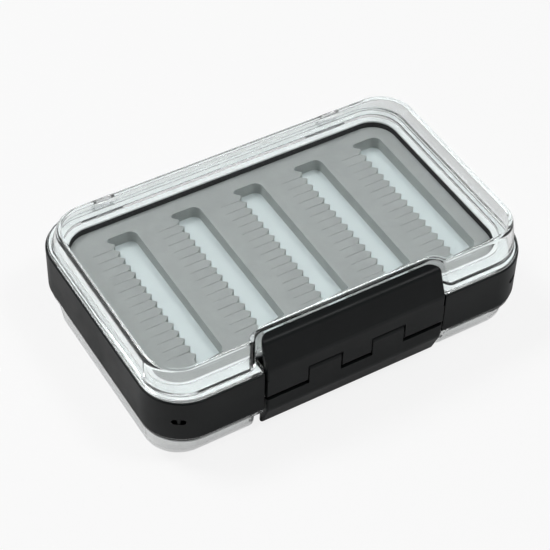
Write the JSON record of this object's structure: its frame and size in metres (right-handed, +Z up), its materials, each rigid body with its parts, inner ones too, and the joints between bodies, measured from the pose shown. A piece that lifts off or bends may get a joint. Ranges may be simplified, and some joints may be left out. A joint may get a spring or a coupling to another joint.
{
  "type": "fly box",
  "caption": "Flat double-sided fly box: black frame with slotted grey foam on both sides, a clear hinged lid over each side and a pair of front latches.",
  "frame": {"origin": "on the surface the box lies on, under the middle of its outline", "axes": "+X along the box, -Y towards the latches and +Y towards the lid hinges, +Z up out of the upper lid"},
  "size_m": [0.152, 0.1042, 0.0436],
  "materials": {
    "black_frame": "black moulded ABS, satin to glossy",
    "pale_panel": "pale blue-white moulded sheet",
    "adhesive": "thin double-sided adhesive sheet",
    "grey_foam": "closed-cell grey foam, die cut",
    "white_seal": "soft white silicone",
    "clear_lid": "clear polished polycarbonate",
    "steel_pin": "drawn stainless wire"
  },
  "bodies": {
    "frame": {"frame_ring": "black_frame", "divider_panel": "pale_panel", "upper_adhesive": "adhesive", "lower_adhesive": "adhesive", "upper_foam": "grey_foam", "lower_foam": "grey_foam", "upper_gasket": "white_seal", "lower_gasket": "white_seal", "latch_pin": "steel_pin", "upper_hinge_pin_left": "steel_pin", "upper_hinge_pin_right": "steel_pin", "lower_hinge_pin_left": "steel_pin", "lower_hinge_pin_right": "steel_pin"},
    "top_lid": {"upper_lid": "clear_lid"},
    "bottom_lid": {"lower_lid": "clear_lid"},
    "top_latch": {"upper_latch": "black_frame"},
    "bottom_latch": {"lower_latch": "black_frame"}
  },
  "joints": [
    {"name": "upper_lid_hinge", "type": "hinge", "parent": "frame", "child": "top_lid", "pos_m": [0, 0.04925, 0.0278], "axis": [-1, 0, 0], "range_deg": [0, 110]},
    {"name": "lower_lid_hinge", "type": "hinge", "parent": "frame", "child": "bottom_lid", "pos_m": [0, 0.04925, 0.0158], "axis": [1, 0, 0], "range_deg": [0, 110]},
    {"name": "upper_latch_hinge", "type": "hinge", "parent": "frame", "child": "top_latch", "pos_m": [0, -0.0484, 0.0218], "axis": [1, 0, 0], "range_deg": [0, 45]},
    {"name": "lower_latch_hinge", "type": "hinge", "parent": "frame", "child": "bottom_latch", "pos_m": [0, -0.0484, 0.0218], "axis": [-1, 0, 0], "range_deg": [0, 45]}
  ]
}
